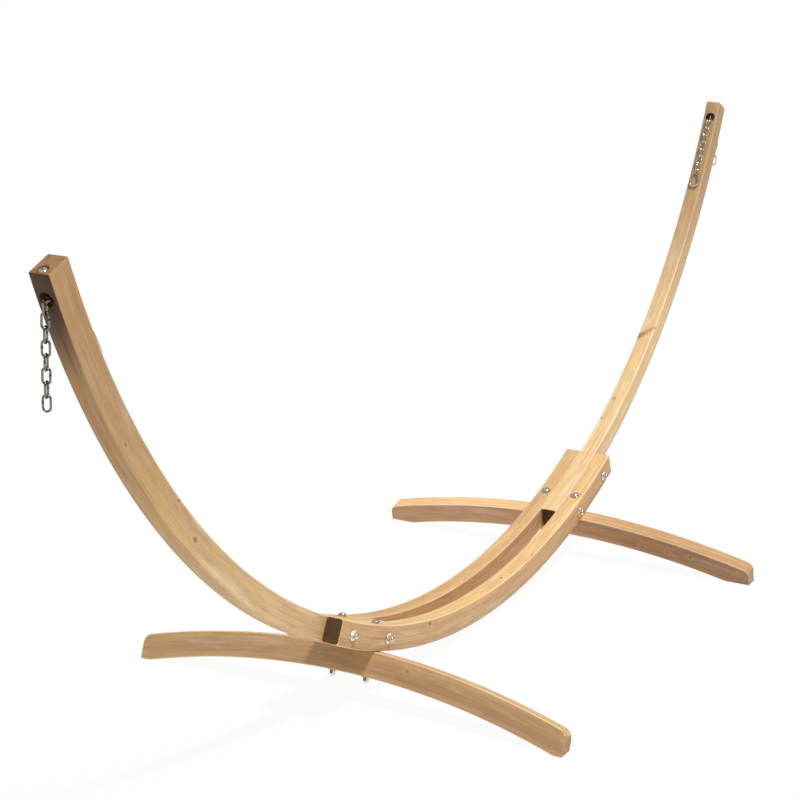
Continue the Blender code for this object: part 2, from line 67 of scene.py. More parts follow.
HEAD_ANGLE = math.radians(66.5)            # angles are counted from straight down
UPRIGHT_FOOT_ANGLE = math.radians(15.9)
RAIL_END_ANGLE = math.radians(25.0)
FOOT_ANGLE = math.radians(18.6)
SIDE_BOLT_ANGLES = (math.radians(23.2), math.radians(17.65))
FOOT_RADIUS = 1.780
FOOT_HALF_LENGTH = 0.505       # each foot's ends are cut square to its middle
FOOT_HALF_ANGLE = math.asin(FOOT_HALF_LENGTH / (FOOT_RADIUS - BEAM_DEPTH / 2))
FOOT_END_ROUND = 0.016

WASHER_RADIUS = 0.0120
WASHER_THICKNESS = 0.0016
BOLT_RADIUS = 0.004
BOLT_HEAD_RADIUS = 0.0090
BOLT_HEAD_HEIGHT = 0.0055
NUT_CORNER_RADIUS = 0.0075
NUT_HEX_HEIGHT = 0.0075
NUT_DOME_HEIGHT = 0.0055

BORE_FROM_END = 0.048
BORE_RADIUS = 0.0130
BORE_ANGLE = HEAD_ANGLE - BORE_FROM_END / BEAM_MIDDLE
SCREW_OFFSET = 0.0147
SCREW_RADIUS = 0.0025
SCREW_HEAD_RADIUS = 0.0080
SCREW_HEAD_HEIGHT = 0.0045
SCREW_BELOW_BORE = 0.020
SCREW_SOCKET = (0.0025, 0.0029)       # radii of the socket's corners, deep down and far above
COUNTERBORE_RADIUS = 0.0105
COUNTERBORE_DEPTH = 0.0034

LINK_WIRE = 0.0040
LINK_REACH = 0.01315           # a link's centre to its end wire's centre
LINK_BEND = 0.0065             # centre-line radius of each end

HOOK_LENGTH = 0.056
HOOK_WIRE = 0.0055
HOOK_SMALL_BEND = 0.0062
HOOK_LARGE_BEND = 0.0117
HOOK_SPAN = HOOK_LENGTH - HOOK_WIRE - HOOK_SMALL_BEND - HOOK_LARGE_BEND
HOOK_LEAN = math.asin((HOOK_LARGE_BEND - HOOK_SMALL_BEND) / HOOK_SPAN)
GATE_HINGE_AT = 0.0090
GATE_RADIUS = 0.0024
NOSE_AT = HOOK_SPAN * math.cos(HOOK_LEAN) - 0.0025
NOSE_GAP = 0.0004
TAB_HALF = 0.0012
TAB_LENGTH = 0.0062
SLOT_DEPTH = 0.0040
RIVET_RADIUS = 0.0011
RIVET_HALF = 0.0029

# ---------------------------------------------------------------- sizes of the looks only
ROUND_OVER = 0.0030            # rounded edges of the timbers
SMALLEST_ROUND = 0.0006        # what is left of that rounding where the ends draw in
LAMELLA = 0.0145               # thickness of the glued layers
OUTER_LAMELLA = 0.0135
RING_BREADTH = 0.0030          # from one growth ring to the next
WELD_LENGTH = 0.0034
WELD_SWELL = 0.00025
BORE_EASE = 0.0008             # flare at the mouths of the chain bores
END_CORNER = 0.0080            # corners of the dark field on the rails' and uprights' ends
END_REACH = 0.0065             # a face of a timber's end lies within this many radians of it
END_FACING = 0.80              # and its normal points at least this much along the beam
ABOVE_HEAD = 0.080             # from a bore's axis to well outside its upright's end
CUT_CLEAR = 0.004              # how far a cutter stands out of the timber
RIVET_RIM = 0.0023             # where a rivet's domed heads start
HOOK_CUT_BREADTH = 0.012       # cutters this broad pass right through a hook's wire

SIDES = ((-1, "left"), (1, "right"))


# ---------------------------------------------------------------- small tools
def add_piece(name, mesh, materials, body, slot, *nodes):
    """A finished piece: in place, smooth, riding on its body, with its CAD nodes hidden."""
    piece = bpy.data.objects.new(name, mesh)
    bpy.context.collection.objects.link(piece)
    for material in materials:
        mesh.materials.append(material)
    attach(piece, body)
    if nodes:
        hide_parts(*nodes)
    return piece


def soften(mesh, degrees=38):
    mesh.shade_smooth()
    mesh.set_sharp_from_angle(angle=math.radians(degrees))


def mesh_from(name, bm):
    bmesh.ops.recalc_face_normals(bm, faces=bm.faces)
    if bm.calc_volume(signed=True) < 0:
        bmesh.ops.reverse_faces(bm, faces=bm.faces)
    mesh = bpy.data.meshes.new(name)
    bm.to_mesh(mesh)
    bm.free()
    return mesh


def axes_matrix(origin, x_axis, y_axis):
    """World matrix whose local X and Y lie along the two given directions."""
    x_axis = Vector(x_axis).normalized()
    z_axis = x_axis.cross(Vector(y_axis)).normalized()
    y_axis = z_axis.cross(x_axis)
    rotation = Matrix((x_axis, y_axis, z_axis)).transposed()
    return Matrix.Translation(origin) @ rotation.to_4x4()


def z_matrix(origin, z_axis, x_hint=(0, 1, 0)):
    """World matrix whose local Z lies along z_axis."""
    z_axis = Vector(z_axis).normalized()
    x_axis = Vector(x_hint)
    x_axis = (x_axis - z_axis * x_axis.dot(z_axis)).normalized()
    return axes_matrix(origin, x_axis, z_axis.cross(x_axis))


def skin(bm, rings, closed_around=True, close_along=False):
    """Faces between successive rings of vertices."""
    count = len(rings[0])
    pairs = list(zip(rings, rings[1:]))
    if close_along:
        pairs.append((rings[-1], rings[0]))
    for low, high in pairs:
        for index in range(count if closed_around else count - 1):
            following = (index + 1) % count
            bm.faces.new((low[index], low[following], high[following], high[index]))


def turned(name, profile, steps, matrix, closed=False):
    """Solid of revolution about local Z; an open profile's ends lie on the axis."""
    bm = bmesh.new()
    verts = [bm.verts.new((radius, 0, height)) for radius, height in profile]
    edges = [bm.edges.new(pair) for pair in zip(verts, verts[1:])]
    if closed:
        edges.append(bm.edges.new((verts[-1], verts[0])))
    bmesh.ops.spin(bm, geom=verts + edges, cent=(0, 0, 0), axis=(0, 0, 1), dvec=(0, 0, 0),
                   angle=math.tau, steps=steps, use_duplicate=False)
    bmesh.ops.remove_doubles(bm, verts=bm.verts, dist=1e-6)
    bm.transform(matrix)
    mesh = mesh_from(name, bm)
    soften(mesh)
    return mesh


def box_mesh(name, size, matrix):
    bm = bmesh.new()
    bmesh.ops.create_cube(bm, size=1.0, matrix=Matrix.Diagonal((*size, 1.0)))
    bm.transform(matrix)
    return mesh_from(name, bm)


def cut(mesh, tools, operation="DIFFERENCE"):
    """The mesh after one exact Boolean with each tool mesh."""
    item = bpy.data.objects.new("cut_item", mesh)
    bpy.context.collection.objects.link(item)
    helpers = []
    for tool in tools:
        helper = bpy.data.objects.new("cut_tool", tool)
        bpy.context.collection.objects.link(helper)
        step = item.modifiers.new("cut", "BOOLEAN")
        step.operation = operation
        step.solver = "EXACT"
        step.object = helper
        helpers.append(helper)
    graph = bpy.context.evaluated_depsgraph_get()
    result = bpy.data.meshes.new_from_object(item.evaluated_get(graph))
    for thing in [item] + helpers:
        bpy.data.objects.remove(thing)
    return result


# ---------------------------------------------------------------- the big arc
def arc_point(radius, angle, y=0.0):
    """A point at an angle from straight down; a negative angle is on the -X side."""
    return Vector((radius * math.sin(angle), y, ARC_CENTRE_Z - radius * math.cos(angle)))


def arc_outward(angle):
    return Vector((math.sin(angle), 0, -math.cos(angle)))


def arc_upward(angle):
    """Along the arc, towards the nearer head."""
    side = math.copysign(1.0, angle)
    return Vector((side * math.cos(angle), 0, side * math.sin(angle)))


def head_point(side, outward, upward=0.0):
    """A point at one head, measured from the middle of its chain bore."""
    angle = side * BORE_ANGLE
    return arc_point(BEAM_MIDDLE, angle) + arc_outward(angle) * outward + arc_upward(angle) * upward


# ---------------------------------------------------------------- timbers
def rounded_section(high, inset, corner_steps=4):
    """Timber's section as (across, height) points, drawn in by inset near its ends."""
    half = BEAM_WIDTH / 2 - inset
    low = inset
    high -= inset
    radius = max(ROUND_OVER - inset, SMALLEST_ROUND)
    points = []
    for x_sign, y_sign, start in ((1, 1, 0), (-1, 1, 90), (-1, -1, 180), (1, -1, 270)):
        centre_x = x_sign * (half - radius)
        centre_y = high - radius if y_sign > 0 else low + radius
        for step in range(corner_steps + 1):
            angle = math.radians(start + 90 * step / corner_steps)
            points.append((centre_x + radius * math.cos(angle), centre_y + radius * math.sin(angle)))
    return points


def end_rounding(distance, radius):
    """How far a quarter round of this radius draws a face in at a distance from the end."""
    if distance >= radius:
        return 0.0
    return radius - math.sqrt(radius ** 2 - (radius - distance) ** 2)


def timber_mesh(name, place, inner_radius, start, end, steps, top_round=0.0, half_length=0.0):
    """Beam swept along its arc. In the place's frame the arc turns about local Y at the
    origin, angle 0 is along local Z, and the heights run from the inner face outwards.
    Its ends are radial, or with a half length they are square to its middle."""
    middle = inner_radius + BEAM_DEPTH / 2
    length = (end - start) * middle
    fine = [ROUND_OVER * (1 - math.cos(math.pi / 2 * k / 4)) for k in range(5)]
    fine += [top_round * (1 - math.cos(math.pi / 2 * k / 6)) for k in range(1, 7) if top_round]
    fine = sorted(set(fine))
    inner = [fine[-1] + (length - 2 * fine[-1]) * k / steps for k in range(1, steps)]
    distances = fine + inner + [length - d for d in reversed(fine)]
    side_share = 0.6 if top_round else 1.0      # ends with a round top keep squarer sides
    bm = bmesh.new()
    rings = []
    for along in distances:
        to_end = min(along, length - along)
        inset = end_rounding(to_end, ROUND_OVER) * side_share
        high = BEAM_DEPTH - end_rounding(to_end, top_round)
        angle = start + along / middle
        ring = []
        for across, height in rounded_section(high, inset):
            radius = inner_radius + height
            turn = angle * math.asin(half_length / radius) / end if half_length else angle
            local = Vector((radius * math.sin(turn), across, radius * math.cos(turn)))
            ring.append(bm.verts.new(place @ local))
        rings.append(ring)
    skin(bm, rings)
    bm.faces.new(rings[0])
    bm.faces.new(rings[-1])
    return mesh_from(name, bm)


def mark_grain(mesh, place, inner_radius):
    """Stores each point as (along the beam, across it, height above its inner face)."""
    middle = inner_radius + BEAM_DEPTH / 2
    back = place.inverted()
    marks = mesh.attributes.new("grain_at", "FLOAT_VECTOR", "POINT")
    for vertex, mark in zip(mesh.vertices, marks.data):
        local = back @ vertex.co
        angle = math.atan2(local.x, local.z)
        radius = math.hypot(local.x, local.z)
        mark.vector = (angle * middle, local.y, radius - inner_radius)


def mark_ends(mesh, place, ends):
    """Gives end-grain faces material slot 1 (end of low angle) or 2 (end of high angle)."""
    back = place.to_3x3().inverted()
    inverse = place.inverted()
    for face in mesh.polygons:
        centre = inverse @ face.center
        angle = math.atan2(centre.x, centre.z)
        normal = back @ face.normal
        along = normal.x * math.cos(angle) - normal.z * math.sin(angle)
        near_end = min(abs(angle - end) for end in ends) < END_REACH
        if near_end and abs(along) > END_FACING:
            face.material_index = 1 if along < 0 else 2


def finish_timber(node, mesh, place, inner_radius, ends, materials):
    mark_grain(mesh, place, inner_radius)
    mark_ends(mesh, place, ends)
    soften(mesh, 40)
    return add_piece(f"{node}_timber", mesh, materials, "stand", "spruce", node)


def beam_place(y):
    """Arc frame of an upright or rail: local Z points down from the arc's centre."""
    return axes_matrix((0, y, ARC_CENTRE_Z), (1, 0, 0), (0, -1, 0))


def foot_place(side):
    """Arc frame of a foot, whose arch rises towards the beams that it carries."""
    angle = side * FOOT_ANGLE
    up = -arc_outward(angle)
    centre = arc_point(BEAM_CONVEX + JOINT_GAP, angle) - up * FOOT_RADIUS
    return z_matrix(centre, up, (0, 1, 0))


def cylinder(radius, low, high, matrix, steps=48):
    profile = ((0, low), (radius, low), (radius, high), (0, high))
    return turned("cylinder", profile, steps, matrix)


def eased_bore(matrix):
    """Cutter for the chain's bore, flared a little where it meets the two faces."""
    low, high = -BEAM_DEPTH / 2, BEAM_DEPTH / 2
    wide = BORE_RADIUS + BORE_EASE + CUT_CLEAR
    profile = ((0, low - CUT_CLEAR), (wide, low - CUT_CLEAR), (BORE_RADIUS, low + BORE_EASE),
               (BORE_RADIUS, high - BORE_EASE), (wide, high + CUT_CLEAR), (0, high + CUT_CLEAR))
    return turned("eased_bore", profile, 64, matrix)


def screw_place(side):
    """Local Z runs up the head screw; local origin is level with the bore's axis."""
    return z_matrix(head_point(side, SCREW_OFFSET), arc_upward(side * BORE_ANGLE))


def make_uprights():
    for side, word in SIDES:
        node = f"{word}_upright"
        place = beam_place(0.0)
        start, end = sorted((side * UPRIGHT_FOOT_ANGLE, side * HEAD_ANGLE))
        mesh = timber_mesh(node, place, ARC_RADIUS, start, end, 84)
        bore = z_matrix(head_point(side, 0), arc_outward(side * BORE_ANGLE))
        seat = BORE_FROM_END - COUNTERBORE_DEPTH
        counterbore = cylinder(COUNTERBORE_RADIUS, seat, ABOVE_HEAD, screw_place(side))
        mesh = cut(mesh, [eased_bore(bore), counterbore])
        sealed = dark_end(f"{node}_lower_end", 3.0 + side)
        head = head_end(f"{node}_head_end", side)
        ends = (sealed, head) if side > 0 else (head, sealed)
        finish_timber(node, mesh, place, ARC_RADIUS, (start, end), (spruce(node), *ends))


def make_rails():
    for way, word in ((-1, "front"), (1, "rear")):
        node = f"{word}_rail"
        place = beam_place(way * RAIL_Y)
        mesh = timber_mesh(node, place, ARC_RADIUS, -RAIL_END_ANGLE, RAIL_END_ANGLE, 84)
        ends = (dark_end(f"{node}_left_end", way), dark_end(f"{node}_right_end", way + 5.0))
        finish_timber(node, mesh, place, ARC_RADIUS, (-RAIL_END_ANGLE, RAIL_END_ANGLE),
                      (spruce(node), *ends))


def make_feet():
    inner = FOOT_RADIUS - BEAM_DEPTH
    for side, word in SIDES:
        node = f"{word}_foot"
        place = foot_place(side)
        mesh = timber_mesh(node, place, inner, -FOOT_HALF_ANGLE, FOOT_HALF_ANGLE, 60,
                           FOOT_END_ROUND, FOOT_HALF_LENGTH)
        below_foot = Matrix.Translation((side * 0.56, 0, -0.1))
        mesh = cut(mesh, [box_mesh("ground", (0.4, 1.4, 0.2), below_foot)])
        ends = (foot_end(f"{node}_front_end", side), foot_end(f"{node}_rear_end", side + 4.0))
        finish_timber(node, mesh, place, inner, (-FOOT_HALF_ANGLE, FOOT_HALF_ANGLE),
                      (spruce(node), *ends))


# ---------------------------------------------------------------- bolts, nuts and screws
def make_washer(name, place, steel):
    inner = BOLT_RADIUS + 0.0003
    ease = 0.0003
    low = JOINT_GAP
    high = low + WASHER_THICKNESS
    profile = ((inner, low), (WASHER_RADIUS - ease, low), (WASHER_RADIUS, low + ease),
               (WASHER_RADIUS, high - ease), (WASHER_RADIUS - ease, high), (inner, high))
    mesh = turned(name, profile, 48, place, closed=True)
    add_piece(name, mesh, (steel,), "stand", "zinc_steel")


def dome_profile(radius, low, height, steps=8):
    """Quarter of an ellipse from the rim up to the axis."""
    angles = [math.pi / 2 * k / steps for k in range(steps + 1)]
    return [(radius * math.cos(angle), low + height * math.sin(angle)) for angle in angles]


def make_domed_bolt(node, grip, place, steel):
    """Round-headed bolt; local Z = 0 is the wood's face and the shank runs down."""
    top = JOINT_GAP + WASHER_THICKNESS
    lip, chamfer, ease = 0.0010, 0.0006, 0.0004
    profile = [(0, -grip), (BOLT_RADIUS - chamfer, -grip), (BOLT_RADIUS, -grip + chamfer),
               (BOLT_RADIUS, top), (BOLT_HEAD_RADIUS - ease, top), (BOLT_HEAD_RADIUS, top + ease)]
    profile += dome_profile(BOLT_HEAD_RADIUS, top + lip, BOLT_HEAD_HEIGHT - lip)
    mesh = turned(f"{node}_head", profile, 48, place)
    add_piece(f"{node}_head", mesh, (steel,), "stand", "zinc_steel", node)


def hexagon_radius(angle):
    """Distance from the axis to a hexagon's side whose corners lie at NUT_CORNER_RADIUS."""
    flat = NUT_CORNER_RADIUS * math.cos(math.pi / 6)
    return flat / math.cos((angle % (math.pi / 3)) - math.pi / 6)


def make_cap_nut(node, place, steel):
    """Hexagon nut with turned corners under a round dome; local Z points up the dome."""
    top = JOINT_GAP + WASHER_THICKNESS
    hex_top = top + NUT_HEX_HEIGHT
    turned_radius = 0.0067         # the corners are turned down to this at both ends
    slope = 0.55
    levels = [top, top + 0.0002, top + 0.0005, hex_top - 0.0006, hex_top - 0.0003, hex_top]
    dome = dome_profile(NUT_CORNER_RADIUS * 0.82, hex_top, NUT_DOME_HEIGHT, 7)[:-1]
    bm = bmesh.new()
    rings = []
    around = [math.tau * k / 48 for k in range(48)]
    for level in levels:
        depth = min(level - top, hex_top - level)
        limit = turned_radius + depth / slope
        radii = [min(hexagon_radius(angle), limit) for angle in around]
        rings.append([bm.verts.new((r * math.cos(a), r * math.sin(a), level))
                      for r, a in zip(radii, around)])
    for radius, level in dome:
        rings.append([bm.verts.new((radius * math.cos(a), radius * math.sin(a), level))
                      for a in around])
    skin(bm, rings)
    bm.faces.new(rings[0])
    tip = bm.verts.new((0, 0, hex_top + NUT_DOME_HEIGHT))
    for first, second in zip(rings[-1], rings[-1][1:] + rings[-1][:1]):
        bm.faces.new((first, second, tip))
    bm.transform(place)
    mesh = mesh_from(f"{node}_cap", bm)
    soften(mesh, 30)
    add_piece(f"{node}_cap", mesh, (steel,), "stand", "zinc_steel", node)


def make_fastening(name, grip, head_place, nut_place, steel):
    make_washer(f"{name}_head_washer", head_place, steel)
    make_domed_bolt(f"{name}_bolt", grip, head_place, steel)
    make_washer(f"{name}_nut_washer", nut_place, steel)
    make_cap_nut(f"{name}_nut", nut_place, steel)


def foot_drop():
    """How far the arched foot falls away below the middle of a rail."""
    inner = FOOT_RADIUS - BEAM_DEPTH
    return inner - math.sqrt(inner ** 2 - (RAIL_Y + WASHER_RADIUS) ** 2)


def make_fastenings(steel):
    rail_face = RAIL_Y + BEAM_WIDTH / 2
    under = BEAM_CONVEX + JOINT_GAP + foot_drop() + BEAM_DEPTH
    hollow = 0.0004                # flat washers rest on the edges of the rails' hollow faces
    for side, word in SIDES:
        for place_word, angle in zip(("upper", "lower"), SIDE_BOLT_ANGLES):
            centre = arc_point(BEAM_MIDDLE, side * angle)
            turn = Matrix.Rotation(math.radians(17 + 40 * angle), 4, "Z")  # no two nuts stop alike
            rear = z_matrix(centre + Vector((0, rail_face, 0)), (0, 1, 0), (1, 0, 0))
            front = z_matrix(centre - Vector((0, rail_face, 0)), (0, -1, 0), (1, 0, 0)) @ turn
            make_fastening(f"{word}_side_{place_word}", 2 * rail_face, rear, front, steel)
        angle = side * FOOT_ANGLE
        for way, way_word in ((-1, "front"), (1, "rear")):
            y = way * RAIL_Y
            above = z_matrix(arc_point(ARC_RADIUS - hollow, angle, y), -arc_outward(angle))
            below = z_matrix(arc_point(under, angle, y), arc_outward(angle))
            make_fastening(f"{word}_foot_{way_word}", 2 * BEAM_DEPTH, above, below, steel)


def make_head_screws(steel):
    """Pan-head screw with a hexagon socket, sunk in the head's end grain."""
    seat = BORE_FROM_END - COUNTERBORE_DEPTH + JOINT_GAP
    tip = -(BORE_RADIUS + SCREW_BELOW_BORE)
    lip, ease, point = 0.0014, 0.0003, 0.004
    profile = [(0, tip), (SCREW_RADIUS * 0.35, tip), (SCREW_RADIUS, tip + point), (SCREW_RADIUS, seat),
               (SCREW_HEAD_RADIUS - ease, seat), (SCREW_HEAD_RADIUS, seat + ease)]
    profile += dome_profile(SCREW_HEAD_RADIUS, seat + lip, SCREW_HEAD_HEIGHT - lip)
    floor = seat + lip + 0.0002
    deep, far = SCREW_SOCKET
    hexagon = ((0, floor), (deep, floor), (far, ABOVE_HEAD), (0, ABOVE_HEAD))
    for side, word in SIDES:
        place = screw_place(side)
        mesh = turned(f"{word}_screw", profile, 48, place)
        mesh = cut(mesh, [turned("socket", hexagon, 6, place)])
        soften(mesh)
        add_piece(f"{word}_screw", mesh, (steel,), "stand", "zinc_steel", f"{word}_head_screw")


# ---------------------------------------------------------------- chains
def node_axes(node):
    """Local frame of a symmetric node: X along its length, Y along its width."""
    vertices = frame["nodes"][node].data.vertices
    points = np.array(sorted({tuple(round(value, 6) for value in vertex.co) for vertex in vertices}))
    centre = points.mean(axis=0)
    _, axes = np.linalg.eigh(np.cov((points - centre).T))
    length, width = Vector(axes[:, 2]), Vector(axes[:, 1])
    if length.z > 0:
        length.negate()
    return axes_matrix(Vector(centre), length, width)


def link_path():
    """(x, y, wire radius) round one link, with the weld's swelling half way along one side."""
    straight = LINK_REACH - LINK_BEND
    radius = LINK_WIRE / 2
    path = []
    for step in range(13):
        angle = -math.pi / 2 + math.pi * step / 12
        path.append((straight + LINK_BEND * math.cos(angle), LINK_BEND * math.sin(angle), radius))
    for share, swell in ((1, 0), (0.7, 1), (0.25, 0.75), (0, 1), (-0.25, 0.75), (-0.7, 1), (-1, 0)):
        path.append((share * WELD_LENGTH / 2, LINK_BEND, radius + swell * WELD_SWELL))
    for step in range(13):
        angle = math.pi / 2 + math.pi * step / 12
        path.append((-straight + LINK_BEND * math.cos(angle), LINK_BEND * math.sin(angle), radius))
    return path


def tube_rings(bm, points, radii, normal, around=16, closed=False):
    """Rings of a tube along points that lie in one plane, whose normal is given."""
    rings = []
    count = len(points)
    for index, point in enumerate(points):
        before = points[(index - 1) % count] if closed else points[max(index - 1, 0)]
        after = points[(index + 1) % count] if closed else points[min(index + 1, count - 1)]
        side = normal.cross(after - before).normalized()
        rings.append([bm.verts.new(point + radii[index] * (side * math.cos(math.tau * k / around)
                                                           + normal * math.sin(math.tau * k / around)))
                      for k in range(around)])
    return rings


def make_chains(steels):
    path = link_path()
    points = [Vector((x, y, 0)) for x, y, _ in path]
    radii = [radius for _, _, radius in path]
    body_of = {node: body for body, nodes in frame["record"]["behaviour"]["bodies"].items()
               for node in nodes}
    for node in sorted(name for name in frame["nodes"] if "_link_" in name):
        bm = bmesh.new()
        rings = tube_rings(bm, points, radii, Vector((0, 0, 1)), closed=True)
        skin(bm, rings, close_along=True)
        bm.transform(node_axes(node))
        mesh = mesh_from(f"{node}_wire", bm)
        soften(mesh)
        word = node.split("_")[0]
        add_piece(f"{node}_wire", mesh, (steels[word],), body_of[node], "chain_steel", node)


# ---------------------------------------------------------------- snap hooks
def gate_side_point(along):
    """A point on the straight line that touches both bends on the gate's side."""
    way = Vector((math.cos(HOOK_LEAN), math.sin(HOOK_LEAN), 0))
    off = Vector((-math.sin(HOOK_LEAN), math.cos(HOOK_LEAN), 0))
    return off * HOOK_SMALL_BEND + way * along


def hook_outline():
    """Centre line in the hook's plane, from its nose round both bends to the gate's hinge."""
    quarter = math.pi / 2 + HOOK_LEAN
    points = [gate_side_point(NOSE_AT)]
    for step in range(25):
        angle = quarter - 2 * quarter * step / 24
        spoke = Vector((math.cos(angle), math.sin(angle), 0))
        points.append(Vector((HOOK_SPAN, 0, 0)) + HOOK_LARGE_BEND * spoke)
    for step in range(17):
        angle = -quarter - (math.tau - 2 * quarter) * step / 16
        points.append(HOOK_SMALL_BEND * Vector((math.cos(angle), math.sin(angle), 0)))
    points.append(gate_side_point(GATE_HINGE_AT + TAB_LENGTH / 3))
    return points


def joint_place(name):
    for joint in frame["joints"]:
        if joint["name"] == name:
            return Vector(joint["pos_m"])
    raise ValueError(f"the frame has no joint {name}")


def hook_place(word):
    """Frame of a hook: local X runs down it from its small bend's centre, local Y is +Y."""
    pin = joint_place(f"{word}_hook_swing")
    way = joint_place(f"{word}_gate_open") - pin
    way.y = 0
    eye = HOOK_SMALL_BEND - HOOK_WIRE / 2 - LINK_WIRE / 2 - JOINT_GAP
    return axes_matrix(pin + way.normalized() * eye, way, (0, 1, 0))


def make_hook_body(word, place, hinge, steel):
    outline = hook_outline()
    bm = bmesh.new()
    radius = HOOK_WIRE / 2
    radii = [radius - 0.0005] + [radius] * (len(outline) - 2) + [radius - 0.0004]
    rings = tube_rings(bm, outline, radii, Vector((0, 0, 1)), around=20)
    skin(bm, rings)
    bm.faces.new(rings[0])
    bm.faces.new(rings[-1])
    bm.transform(place)
    cheek = (0.010, HOOK_CUT_BREADTH, 1.3 * TAB_LENGTH)
    tools = [box_mesh("cheek", cheek,
                      hinge @ Matrix.Translation((face * (TAB_HALF + cheek[0] / 2), 0, 0)))
             for face in (-1, 1)]
    mesh = cut(mesh_from(f"{word}_hook_wire", bm), tools)
    soften(mesh)
    add_piece(f"{word}_hook_wire", mesh, (steel,), f"{word}_hook", "hook_steel", f"{word}_hook_body")


def make_hook_gate(word, hinge, steel):
    """Round gate, forked over the hook's tab, with a rivet through both."""
    length = NOSE_AT - GATE_HINGE_AT - NOSE_GAP
    back = -TAB_LENGTH / 3
    ease = 0.0005
    profile = ((0, back), (GATE_RADIUS - ease, back), (GATE_RADIUS, back + ease),
               (GATE_RADIUS, length - ease), (GATE_RADIUS - ease, length), (0, length))
    mesh = turned(f"{word}_gate", profile, 32, hinge)
    behind = 0.010
    slot = Matrix.Translation((0, 0, (SLOT_DEPTH - behind) / 2))
    slot_size = (2 * (TAB_HALF + JOINT_GAP), HOOK_CUT_BREADTH, SLOT_DEPTH + behind)
    mesh = cut(mesh, [box_mesh("slot", slot_size, hinge @ slot)])
    soften(mesh)
    add_piece(f"{word}_gate", mesh, (steel,), f"{word}_gate", "hook_steel", f"{word}_hook_gate")
    head = dome_profile(RIVET_RADIUS * 1.5, RIVET_RIM, RIVET_HALF - RIVET_RIM)
    rivet = ([(radius, -z) for radius, z in reversed(head)]
             + [(RIVET_RADIUS, -RIVET_RIM), (RIVET_RADIUS, RIVET_RIM)] + head)
    across = hinge @ Matrix.Rotation(math.pi / 2, 4, "Y")
    add_piece(f"{word}_rivet", turned(f"{word}_rivet", rivet, 24, across), (steel,), f"{word}_gate",
              "hook_steel")


def make_hooks(steel):
    way = gate_side_point(1.0) - gate_side_point(0.0)
    local_hinge = z_matrix(gate_side_point(GATE_HINGE_AT), way, (0, 0, 1))
    for _, word in SIDES:
        place = hook_place(word)
        hinge = place @ local_hinge
        make_hook_body(word, place, hinge, steel)
        make_hook_gate(word, hinge, steel)


# ---------------------------------------------------------------- materials
class Shader:
    """A node material and short ways to add nodes to it."""

    def __init__(self, name):
        self.material = bpy.data.materials.new(name)
        self.material.use_nodes = True
        self.tree = self.material.node_tree
        self.surface = self.tree.nodes["Principled BSDF"]

    def feed(self, socket, value):
        if isinstance(value, bpy.types.NodeSocket):
            self.tree.links.new(value, socket)
        else:
            socket.default_value = value

    def add(self, kind, settings=None, inputs=None):
        node = self.tree.nodes.new(kind)
        for key, value in (settings or {}).items():
            setattr(node, key, value)
        for key, value in (inputs or {}).items():
            self.feed(node.inputs[key], value)
        return node

    def math(self, operation, first, second=0.0):
        return self.add("ShaderNodeMath", {"operation": operation}, {0: first, 1: second}).outputs[0]

    def plus(self, first, second):
        return self.math("ADD", first, second)

    def minus(self, first, second):
        return self.math("SUBTRACT", first, second)

    def times(self, first, second):
        return self.math("MULTIPLY", first, second)

    def vector_math(self, operation, first, second, output="Vector"):
        inputs = {0: first} if second is None else {0: first, 1: second}
        return self.add("ShaderNodeVectorMath", {"operation": operation}, inputs).outputs[output]

    def scaled(self, vector, factors):
        return self.vector_math("MULTIPLY", vector, factors)

    def grain_at(self):
        """A timber's stored marks: (along the beam, across it, height above its inner face)."""
        return self.add("ShaderNodeAttribute", {"attribute_name": "grain_at"}).outputs["Vector"]

    def random(self, number, output):
        inputs = {"W": number}
        return self.add("ShaderNodeTexWhiteNoise", {"noise_dimensions": "1D"}, inputs).outputs[output]

    def split(self, vector):
        return tuple(self.add("ShaderNodeSeparateXYZ", None, {0: vector}).outputs)

    def join(self, x, y, z):
        return self.add("ShaderNodeCombineXYZ", None, {0: x, 1: y, 2: z}).outputs[0]

    def noise(self, vector, scale=1.0, detail=2.0, roughness=0.5):
        inputs = {"Vector": vector, "Scale": scale, "Detail": detail, "Roughness": roughness}
        return self.add("ShaderNodeTexNoise", None, inputs).outputs[0]

    def between(self, value, low, high, start=0.0, end=1.0):
        """Smooth step: start at low, end at high."""
        inputs = {"Value": value, "From Min": low, "From Max": high, "To Min": start, "To Max": end}
        settings = {"interpolation_type": "SMOOTHSTEP"}
        return self.add("ShaderNodeMapRange", settings, inputs).outputs[0]

    def mix(self, factor, first, second, blend="MIX", clamp=True):
        settings = {"data_type": "RGBA", "blend_type": blend, "clamp_result": clamp}
        return self.add("ShaderNodeMix", settings, {0: factor, 6: first, 7: second}).outputs[2]

    def shaded(self, colour, grey):
        return self.mix(1.0, colour, self.join(grey, grey, grey), "MULTIPLY")

    def set(self, **inputs):
        for key, value in inputs.items():
            self.feed(self.surface.inputs[key.replace("_", " ")], value)

    def bump(self, height, strength, distance):
        inputs = {"Height": height, "Strength": strength, "Distance": distance}
        self.feed(self.surface.inputs["Normal"], self.add("ShaderNodeBump", None, inputs).outputs[0])


